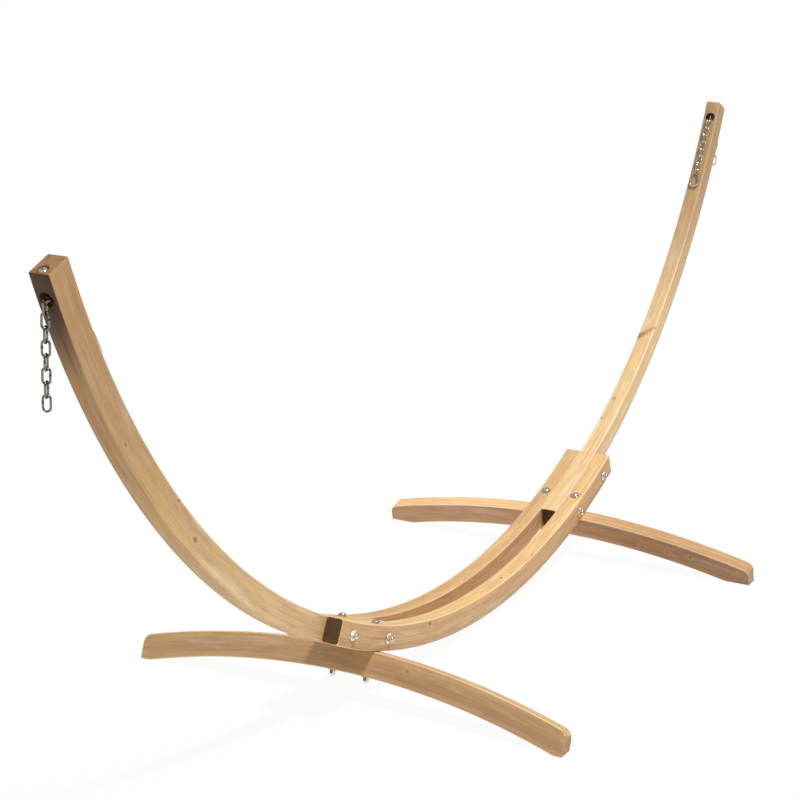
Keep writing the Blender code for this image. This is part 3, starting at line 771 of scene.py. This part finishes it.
def growth_rings(shader, seed, push=0.0):
    """Glued layers, each cut from its own part of a trunk.

    Returns (latewood 0 to 1, the layer's random tint, closeness to a glue line 0 to 1).
    """
    at = shader.grain_at()
    along, across, height = shader.split(at)
    place = shader.math("DIVIDE", shader.plus(height, LAMELLA - OUTER_LAMELLA), LAMELLA)
    layer = shader.math("FLOOR", place)
    inside = shader.minus(place, layer)
    pick = shader.split(shader.random(shader.plus(layer, seed), "Color"))
    slow = shader.join(shader.times(along, 1.3), shader.times(across, 5.0),
                       shader.plus(shader.times(layer, 3.7), seed))
    wander = shader.times(shader.minus(shader.noise(slow), 0.5), 0.030)
    # each layer's pith lies below it, up to 17 mm to either side
    pith_across = shader.times(shader.minus(pick[0], 0.5), 0.034)
    pith_below = shader.plus(shader.times(pick[1], 0.026), 0.010)
    depth = shader.times(inside, LAMELLA)
    x = shader.minus(shader.plus(across, wander), pith_across)
    y = shader.plus(shader.plus(depth, pith_below), shader.times(wander, 0.7))
    distance = shader.math("SQRT", shader.plus(shader.times(x, x), shader.times(y, y)))
    count = shader.plus(shader.math("DIVIDE", distance, RING_BREADTH), push)
    phase = shader.math("FRACT", count)
    late = shader.times(shader.between(phase, 0.30, 0.86), shader.between(phase, 1.0, 0.90))
    strength = shader.random(shader.plus(shader.math("FLOOR", count), seed), "Value")
    late = shader.times(late, shader.plus(shader.times(strength, 0.6), 0.4))
    off_centre = shader.math("ABSOLUTE", shader.minus(inside, 0.5))
    glue = shader.between(off_centre, 0.476, 0.496)
    return late, pick[2], glue


def distance_from(shader, at, point, stretch):
    """Distance from a point, with each axis counted by its own share."""
    away = shader.scaled(shader.vector_math("SUBTRACT", at, point), stretch)
    return shader.vector_math("LENGTH", away, None, "Value")


def knot_fields(shader, at, knots):
    """(dark of the knots, pale rim round them, how far they push the rings aside)."""
    dark, rim, push = 0.0, 0.0, 0.0
    for along, across, height, radius, strength in knots:
        away = distance_from(shader, at, (along, across, height), (0.62, 1.0, 1.0))
        core = shader.between(away, radius, 0.35 * radius, 0.0, strength)
        dark = shader.math("MAXIMUM", dark, core)
        rim = shader.math("MAXIMUM", rim, shader.between(away, 2.6 * radius, radius, 0.0, strength))
        push = shader.plus(push, shader.between(away, 4.5 * radius, 0.0, 0.0, 2.2 * strength))
    return dark, rim, push


# each timber: its seed, its tone, the painted shade of its side faces (as a tone), and its knots as
# (along, across, height, radius, strength), the first four in metres
TIMBERS = {
    "left_upright": (11.0, (0.97, 0.95, 0.95), (0.95, 0.93, 0.95), (
        (-1.3202, 0.0200, 0.0290, 0.0070, 0.75), (-1.4187, 0.0200, 0.0060, 0.0035, 0.9),
        (-1.6250, 0.0200, 0.0400, 0.0045, 0.5), (-0.9700, -0.0200, 0.0300, 0.0060, 0.7))),
    "right_upright": (23.0, (1.22, 1.29, 1.36), (1.00, 1.01, 1.03), (
        (1.2430, 0.0160, 0.0000, 0.0070, 0.5), (1.2340, 0.0080, 0.0000, 0.0080, 0.55),
        (1.2250, 0.0000, 0.0000, 0.0085, 0.6), (1.2160, -0.0080, 0.0000, 0.0090, 0.7),
        (1.2080, -0.0160, 0.0000, 0.0100, 0.8), (0.9703, -0.0080, 0.0000, 0.0075, 0.45),
        (0.8892, -0.0150, 0.0000, 0.0045, 0.6), (1.5100, 0.0200, 0.0330, 0.0050, 0.6))),
    "front_rail": (37.0, (1.17, 1.23, 1.22), (0.79, 0.76, 0.80), (
        (-0.3281, 0.0200, 0.0090, 0.0065, 0.8), (0.0862, 0.0043, 0.0000, 0.0040, 1.0),
        (0.1262, 0.0124, 0.0000, 0.0045, 0.45), (0.2446, 0.0154, 0.0000, 0.0042, 0.75),
        (-0.0900, 0.0200, 0.0380, 0.0045, 0.4))),
    "rear_rail": (41.0, (1.07, 1.07, 1.09), (0.90, 0.86, 0.86), (
        (-0.1500, -0.0060, 0.0000, 0.0040, 0.6), (0.3300, -0.0200, 0.0300, 0.0060, 0.8))),
    "left_foot": (53.0, (1.00, 1.04, 1.06), (0.80, 0.76, 0.80), (
        (-0.1400, 0.0200, 0.0360, 0.0045, 0.45), (0.3100, -0.0200, 0.0260, 0.0055, 0.7))),
    "right_foot": (67.0, (1.20, 1.20, 1.22), (0.64, 0.58, 0.60), (
        (-0.2259, 0.0200, 0.0195, 0.0040, 0.75), (-0.2951, 0.0200, 0.0250, 0.0036, 0.55),
        (-0.3544, 0.0200, 0.0330, 0.0042, 0.90), (-0.2400, 0.0200, 0.0480, 0.0028, 0.40))),
}
# timbers with painted shade and painted light along them: where the change starts and ends, and the two tones
LIGHT_SHADE_ALONG = {
    # the left upright is painted darker at its head and lighter lower down, the right upright darker towards its
    # head, the right foot darker on its -Y half and lighter on its +Y half
    "left_upright": (-1.85, -1.00, (0.91, 0.92, 0.91, 1.0), (1.24, 1.39, 1.48, 1.0)),
    "right_upright": (1.20, 1.85, (1.00, 1.06, 1.12, 1.0), (0.62, 0.60, 0.58, 1.0)),
    "right_foot": (-0.25, 0.25, (0.76, 0.74, 0.76, 1.0), (1.16, 1.20, 1.28, 1.0)),
}
EARLYWOOD = (0.730, 0.480, 0.228, 1.0)
LATEWOOD = (0.490, 0.262, 0.106, 1.0)
STREAK = (0.560, 0.322, 0.142, 1.0)
HONEY = (0.740, 0.445, 0.170, 1.0)
ROSE = (0.640, 0.385, 0.205, 1.0)
PALE = (0.860, 0.640, 0.380, 1.0)
MOTTLE_DARK = (0.790, 0.730, 0.700, 1.0)
KNOT = (0.160, 0.072, 0.030, 1.0)
GLUE_LINE = (0.360, 0.190, 0.085, 1.0)
# painted shade, laid in the chain bores, the screws' seats and on the left upright's head
PAINTED_SHADE = (0.050, 0.028, 0.014, 1.0)
CONVEX_SHADE = (0.700, 0.640, 0.580, 1.0)     # painted shade: the left upright's convex face is painted browner
# sawn ends: the colours of earlywood and latewood
SEALED_GRAIN = (0.110, 0.068, 0.034, 1.0), (0.058, 0.034, 0.016, 1.0)
HEAD_GRAIN = (0.400, 0.225, 0.105, 1.0), (0.200, 0.100, 0.045, 1.0)
FOOT_GRAIN = (0.560, 0.360, 0.190, 1.0), (0.330, 0.190, 0.090, 1.0)
BORDER_BREADTH = 0.0016        # clear wood round a sealed end


def mix_grain(shader, at, seed, late, layer_pick):
    """The clear wood's colour, with its fibres; also returns the streak and fibre patterns."""
    moved = shader.vector_math("ADD", at, (seed, 0, 0))
    fibre = shader.noise(shader.scaled(moved, (9.0, 620.0, 620.0)), 1.0, 3.0, 0.6)
    streak = shader.noise(shader.scaled(moved, (2.6, 150.0, 150.0)), 1.0, 3.0, 0.62)
    patch = shader.noise(shader.scaled(moved, (5.0, 34.0, 34.0)), 1.0, 3.0, 0.55)
    blush = shader.noise(shader.scaled(moved, (2.1, 26.0, 48.0)), 1.7, 2.0)
    fleck = shader.noise(shader.scaled(moved, (60.0, 420.0, 420.0)), 1.0, 2.0, 0.7)
    colour = shader.mix(shader.times(late, 0.66), EARLYWOOD, LATEWOOD)
    colour = shader.mix(shader.between(blush, 0.42, 0.66, 0.0, 0.70), colour, ROSE)
    colour = shader.mix(shader.between(streak, 0.47, 0.74, 0.0, 0.80), colour, STREAK)
    colour = shader.mix(shader.between(patch, 0.46, 0.70, 0.0, 0.65), colour, HONEY)
    colour = shader.mix(shader.between(patch, 0.46, 0.28, 0.0, 0.45), colour, PALE)
    colour = shader.mix(shader.between(fibre, 0.50, 0.80, 0.0, 0.34), colour, LATEWOOD)
    colour = shader.mix(shader.between(fleck, 0.62, 0.80, 0.0, 0.30), colour, LATEWOOD)
    mottle = shader.noise(shader.scaled(moved, (13.0, 90.0, 90.0)), 1.0, 4.0, 0.7)
    colour = shader.mix(shader.between(mottle, 0.38, 0.60, 0.50, 0.0), colour, MOTTLE_DARK, "MULTIPLY")
    colour = shader.shaded(colour, shader.plus(shader.times(layer_pick, 0.17), 0.955))
    return colour, streak, fibre


def paint_light_shade_along(shader, at, colour, start, end, first, last):
    """Paints shade and light along a timber by changing its tone; tones may pass 1, so nothing is clamped here."""
    passed = shader.between(shader.split(at)[0], start, end)
    tone = shader.mix(passed, first, last, clamp=False)
    return shader.mix(1.0, colour, tone, "MULTIPLY", clamp=False)


def paint_head_shade(shader, at, colour, side):
    """Painted shade inside the chain's bore; on the left upright also painted shade over its convex face and near
    its head.
    """
    bore_at = (side * BORE_ANGLE * BEAM_MIDDLE, 0.0, 0.0)
    from_bore = distance_from(shader, at, bore_at, (1.0, 1.0, 0.0))
    # painted shade inside the bore
    inside = shader.between(from_bore, BORE_RADIUS + 0.0012, BORE_RADIUS + 0.0002, 0.0, 0.85)
    colour = shader.mix(inside, colour, PAINTED_SHADE)
    if side > 0:
        return colour
    along, _, height = shader.split(at)
    # painted shade on the left upright: its convex face browner all along, all faces darker near the head, and the
    # convex face there nearly black
    shade_edge_noise = shader.noise(shader.scaled(at, (6.0, 90.0, 90.0)), 1.0, 3.0, 0.6)
    reach = shader.plus(along, shader.times(shade_edge_noise, 0.10))
    head_end_at = -HEAD_ANGLE * BEAM_MIDDLE
    near_head = shader.between(reach, head_end_at + 0.30, head_end_at + 0.11)
    convex = shader.between(height, BEAM_DEPTH - 0.0030, BEAM_DEPTH - 0.0008)
    colour = shader.mix(convex, colour, CONVEX_SHADE, "MULTIPLY")
    colour = shader.mix(shader.times(near_head, 0.22), colour, LATEWOOD)
    return shader.mix(shader.times(shader.times(near_head, convex), 0.93), colour, PAINTED_SHADE)


def spruce(node):
    """Glazed spruce: rings, fibres, honey-coloured patches, knots, glue lines, painted highlights on the edges,
    painted shade and light on some faces.
    """
    seed, tone, side_shade, knots = TIMBERS[node]
    shader = Shader(f"spruce_{node}")
    at = shader.grain_at()
    _, across, height = shader.split(at)
    dark, rim, push = knot_fields(shader, at, knots)
    late, layer_pick, glue = growth_rings(shader, seed, push)
    colour, streak, fibre = mix_grain(shader, at, seed, late, layer_pick)
    # no glue lines within half a centimetre of the inner and outer faces
    outer = shader.times(shader.between(height, 0.004, 0.006),
                         shader.between(height, BEAM_DEPTH - 0.004, BEAM_DEPTH - 0.006))
    glue = shader.times(glue, outer)
    colour = shader.mix(shader.times(glue, 0.55), colour, GLUE_LINE)
    from_side = shader.minus(BEAM_WIDTH / 2, shader.math("ABSOLUTE", across))
    from_face = shader.math("MINIMUM", height, shader.minus(BEAM_DEPTH, height))
    # painted highlight: the rounded edges are painted paler, broken up by the streaks
    corner = shader.between(shader.math("MAXIMUM", from_side, from_face), 0.0034, 0.0010)
    edge_highlight = shader.times(corner, shader.between(streak, 0.35, 0.65, 0.30, 0.90))
    # painted shade: the side faces are multiplied by the side tone, darker than the inner and outer faces
    side_shade_mask = shader.between(from_side, 0.0016, 0.0004)
    colour = shader.mix(side_shade_mask, colour, (*side_shade, 1.0), "MULTIPLY")
    colour = shader.mix(shader.times(rim, 0.35), colour, HONEY)
    colour = shader.mix(edge_highlight, colour, PALE)
    colour = shader.mix(shader.times(dark, 0.88), colour, KNOT)
    colour = shader.mix(1.0, colour, (*tone, 1.0), "MULTIPLY")
    # painted shade and painted light along the timber
    if node in LIGHT_SHADE_ALONG:
        colour = paint_light_shade_along(shader, at, colour, *LIGHT_SHADE_ALONG[node])
    # painted shade at the heads
    if node.endswith("upright"):
        colour = paint_head_shade(shader, at, colour, -1 if node.startswith("left") else 1)
    shader.set(Base_Color=colour, Roughness=shader.between(fibre, 0.2, 0.8, 0.46, 0.62),
               Specular_IOR_Level=0.22)
    relief = shader.times(fibre, 0.7)
    for sunk, share in ((late, 0.4), (glue, 0.5)):
        relief = shader.minus(relief, shader.times(sunk, share))
    shader.bump(relief, 0.35, 0.0004)
    return shader.material


def end_border(shader, at):
    """1 round the rim of an end, 0 inside; the inner field has rounded corners."""
    _, across, height = shader.split(at)
    beyond = []
    for value, middle, size in ((across, 0.0, BEAM_WIDTH), (height, BEAM_DEPTH / 2, BEAM_DEPTH)):
        half = size / 2
        off = shader.math("ABSOLUTE", shader.minus(value, middle))
        beyond.append(shader.math("MAXIMUM", shader.minus(off, half - END_CORNER), 0.0))
    away = distance_from(shader, shader.join(beyond[0], beyond[1], 0.0), (0, 0, 0), (1, 1, 1))
    ragged = shader.times(shader.noise(shader.scaled(at, (0, 420.0, 420.0))), 0.0014)
    edge = END_CORNER - BORDER_BREADTH
    return shader.between(shader.plus(away, ragged), edge - 0.0003, edge + 0.0012)


def paint_screw_seat_shade(shader, at, colour):
    """Painted shade in the sunk seat of a head's screw."""
    away = distance_from(shader, at, (0, 0, BEAM_DEPTH / 2 + SCREW_OFFSET), (0, 1, 1))
    rim = COUNTERBORE_RADIUS
    return shader.mix(shader.between(away, rim + 0.0014, rim - 0.0004, 0.0, 0.8), colour, PAINTED_SHADE)


def end_grain(name, seed, grain, roughness, border=None, well=False):
    """Sawn end: the rings show as arcs in each layer, and the pores are open and darker."""
    early, late_colour = grain
    shader = Shader(name)
    late, layer_pick, glue = growth_rings(shader, seed)
    at = shader.grain_at()
    pores = shader.noise(shader.scaled(at, (300.0, 900.0, 900.0)), 1.0, 3.0, 0.6)
    stain = shader.noise(shader.scaled(at, (20.0, 60.0, 60.0)), 1.0, 2.0)
    colour = shader.mix(shader.times(late, 0.7), early, late_colour)
    colour = shader.mix(shader.between(pores, 0.5, 0.75, 0.0, 0.45), colour, late_colour)
    colour = shader.mix(shader.between(stain, 0.35, 0.75, 0.0, 0.5), colour, late_colour)
    colour = shader.shaded(colour, shader.plus(shader.times(layer_pick, 0.16), 0.90))
    colour = shader.mix(shader.times(glue, 0.6), colour, late_colour)
    # painted shade round the screw's seat
    if well:
        colour = paint_screw_seat_shade(shader, at, colour)
    if border:
        colour = shader.mix(end_border(shader, at), colour, border)
    shader.set(Base_Color=colour, Roughness=roughness, Specular_IOR_Level=0.2)
    shader.bump(shader.minus(pores, late), 0.4, 0.0004)
    return shader.material


def dark_end(name, seed):
    """End grain under a dark sealing coat."""
    return end_grain(name, seed, SEALED_GRAIN, 0.6, border=HONEY)


def head_end(name, side):
    return end_grain(name, 71.0 + side, HEAD_GRAIN, 0.6, well=True)


def foot_end(name, seed):
    return end_grain(name, seed, FOOT_GRAIN, 0.65)


ZINC = (0.80, 0.76, 0.70)
# one chain steel in two colours: the left chain's is painted shade, the right chain's painted light
CHAIN_STEEL_IN_SHADE = (0.24, 0.22, 0.185)
CHAIN_STEEL_IN_LIGHT = (0.74, 0.67, 0.59)
STAINLESS = (0.76, 0.71, 0.65)


def steel(name, colour, smoothest, roughest):
    """Plated or polished steel: cloudy roughness, faint handling scratches."""
    shader = Shader(name)
    at = shader.add("ShaderNodeTexCoord").outputs["Object"]
    cloud = shader.noise(at, 260.0, 3.0, 0.6)
    scratch = shader.noise(shader.scaled(at, (300.0, 2600.0, 1200.0)), 1.0, 2.0, 0.6)
    dull = tuple(channel * 0.80 for channel in colour)
    shade = shader.mix(shader.between(cloud, 0.35, 0.75, 0.0, 0.6), (*colour, 1.0), (*dull, 1.0))
    shader.set(Base_Color=shade, Roughness=shader.between(cloud, 0.3, 0.7, smoothest, roughest),
               Metallic=1.0)
    shader.bump(scratch, 0.10, 0.0001)
    return shader.material


# ---------------------------------------------------------------- stage, light and camera
SKY_RAMP = {"From Min": 0.10, "From Max": 0.60, "To Min": 0.05, "To Max": 0.47}
BACKDROP_STRENGTH = 0.96
KEY_STRENGTH = 2.5
KEY_SPREAD = math.radians(7)
TOWARDS_KEY = (-0.11, -0.33, 0.94)

CAMERA_AT = (-3.98210, -1.85970, 1.64626)
CAMERA_FORWARD = (0.860908, 0.444456, -0.247578)
CAMERA_AZIMUTH = math.radians(62.694)      # of the level direction to the camera's right
CAMERA_ROLL = math.radians(1.639)
CAMERA_LENS = 88.65


def make_floor():
    """Plain white floor that also gives some light, so that shadows on it stay faint."""
    mesh = bpy.data.meshes.new("floor")
    size = 80.0
    level = -0.0003
    mesh.from_pydata([(-size, -size, level), (size, -size, level), (size, size, level),
                      (-size, size, level)], [], [(0, 1, 2, 3)])
    floor = bpy.data.objects.new("floor", mesh)
    bpy.context.collection.objects.link(floor)
    shader = Shader("white_floor")
    shader.set(Base_Color=(0.06, 0.06, 0.06, 1.0), Roughness=1.0, Specular_IOR_Level=0.0,
               Emission_Color=(1.0, 1.0, 1.0, 1.0), Emission_Strength=0.935)
    mesh.materials.append(shader.material)


def make_light():
    world = bpy.data.worlds.new("studio")
    bpy.context.scene.world = world
    world.use_nodes = True
    tree = world.node_tree
    background = tree.nodes["Background"]
    background.inputs["Color"].default_value = (0.96, 0.98, 1.0, 1.0)
    # soft light from above that falls off towards the horizon, and a pale backdrop
    direction = tree.nodes.new("ShaderNodeTexCoord").outputs["Generated"]
    split = tree.nodes.new("ShaderNodeSeparateXYZ")
    tree.links.new(direction, split.inputs[0])
    ramp = tree.nodes.new("ShaderNodeMapRange")
    for name, value in SKY_RAMP.items():
        ramp.inputs[name].default_value = value
    tree.links.new(split.outputs["Z"], ramp.inputs["Value"])
    seen = tree.nodes.new("ShaderNodeMix")
    seen.inputs["B"].default_value = BACKDROP_STRENGTH
    camera_ray = tree.nodes.new("ShaderNodeLightPath").outputs["Is Camera Ray"]
    tree.links.new(camera_ray, seen.inputs["Factor"])
    tree.links.new(ramp.outputs["Result"], seen.inputs["A"])
    tree.links.new(seen.outputs["Result"], background.inputs["Strength"])
    lamp = bpy.data.lights.new("key", "SUN")
    lamp.energy = KEY_STRENGTH
    lamp.angle = KEY_SPREAD
    lamp.color = (1.0, 0.985, 0.96)
    key = bpy.data.objects.new("key", lamp)
    bpy.context.collection.objects.link(key)
    key.rotation_euler = Vector(TOWARDS_KEY).to_track_quat("Z", "Y").to_euler()


def make_camera():
    """Eye-level camera in front of the left head, rolled very slightly."""
    lens = bpy.data.cameras.new("camera")
    lens.sensor_width = 36.0
    lens.lens = CAMERA_LENS
    lens.clip_end = 300.0
    camera = bpy.data.objects.new("camera", lens)
    bpy.context.collection.objects.link(camera)
    forward = Vector(CAMERA_FORWARD).normalized()
    level_right = Vector((math.cos(CAMERA_AZIMUTH), -math.sin(CAMERA_AZIMUTH), 0))
    level_up = level_right.cross(forward)
    right = level_right * math.cos(CAMERA_ROLL) + level_up * math.sin(CAMERA_ROLL)
    up = right.cross(forward)
    rotation = Matrix((right, up, -forward)).transposed().to_4x4()
    camera.matrix_world = Matrix.Translation(CAMERA_AT) @ rotation
    bpy.context.scene.camera = camera


# ---------------------------------------------------------------- the whole scene
def make_everything():
    zinc = steel("zinc_plate", ZINC, 0.10, 0.24)
    # both chains are the same steel: the left one is painted in shade, the right one painted lit
    chains = {"left": steel("chain_in_painted_shade", CHAIN_STEEL_IN_SHADE, 0.14, 0.30),
              "right": steel("chain_in_painted_light", CHAIN_STEEL_IN_LIGHT, 0.12, 0.26)}
    stainless = steel("polished_stainless", STAINLESS, 0.10, 0.22)
    make_uprights()
    make_rails()
    make_feet()
    make_fastenings(zinc)
    make_head_screws(zinc)
    make_chains(chains)
    make_hooks(stainless)
    make_floor()
    make_light()
    make_camera()
    bpy.context.scene.view_settings.view_transform = "Standard"


make_everything()
